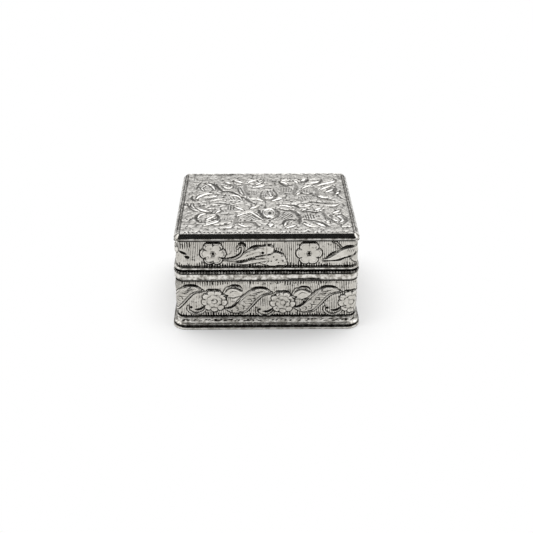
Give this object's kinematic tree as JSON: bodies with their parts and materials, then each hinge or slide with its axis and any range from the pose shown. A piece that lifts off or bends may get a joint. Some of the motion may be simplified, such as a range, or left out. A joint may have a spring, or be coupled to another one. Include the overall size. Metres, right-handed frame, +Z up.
{
  "type": "rosary box",
  "caption": "Small rectangular keepsake box of embossed white metal with a hinged lid, polished mouldings, a beaded wire, a flared foot and a velvet-lined inside.",
  "frame": {"origin": "middle of the footprint, on the surface that the box stands on", "axes": "+Z up, +X along the longer side, the front faces -Y and the hinge is at +Y"},
  "size_m": [0.0642, 0.0548, 0.0355],
  "materials": {
    "embossed_silver": "embossed silver plate, darkened in its hollows",
    "polished_silver": "polished silver plate",
    "plain_silver": "satin silver plate",
    "velvet": "deep red velvet"
  },
  "bodies": {
    "base": {"base_beaded_wire": "polished_silver", "base_shoulder_moulding": "polished_silver", "base_side_band": "embossed_silver", "base_inner_wall": "plain_silver", "base_collar": "plain_silver", "base_foot_moulding": "polished_silver", "base_foot_wire": "polished_silver", "base_bottom_plate": "plain_silver", "base_hinge_leaf": "plain_silver", "hinge_pin": "plain_silver", "base_floor_pad": "velvet", "base_wall_lining": "velvet"},
    "lid": {"lid_top_plate": "embossed_silver", "lid_top_moulding": "polished_silver", "lid_side_band": "embossed_silver", "lid_inner_wall": "plain_silver", "lid_rim_wire": "polished_silver", "lid_hinge_leaf": "plain_silver", "lid_pad": "velvet", "lid_wall_lining": "velvet"}
  },
  "joints": [
    {"name": "lid_hinge", "type": "hinge", "parent": "base", "child": "lid", "pos_m": [0, 0.02632, 0.02243], "axis": [-1, 0, 0], "range_deg": [0, 105]}
  ]
}
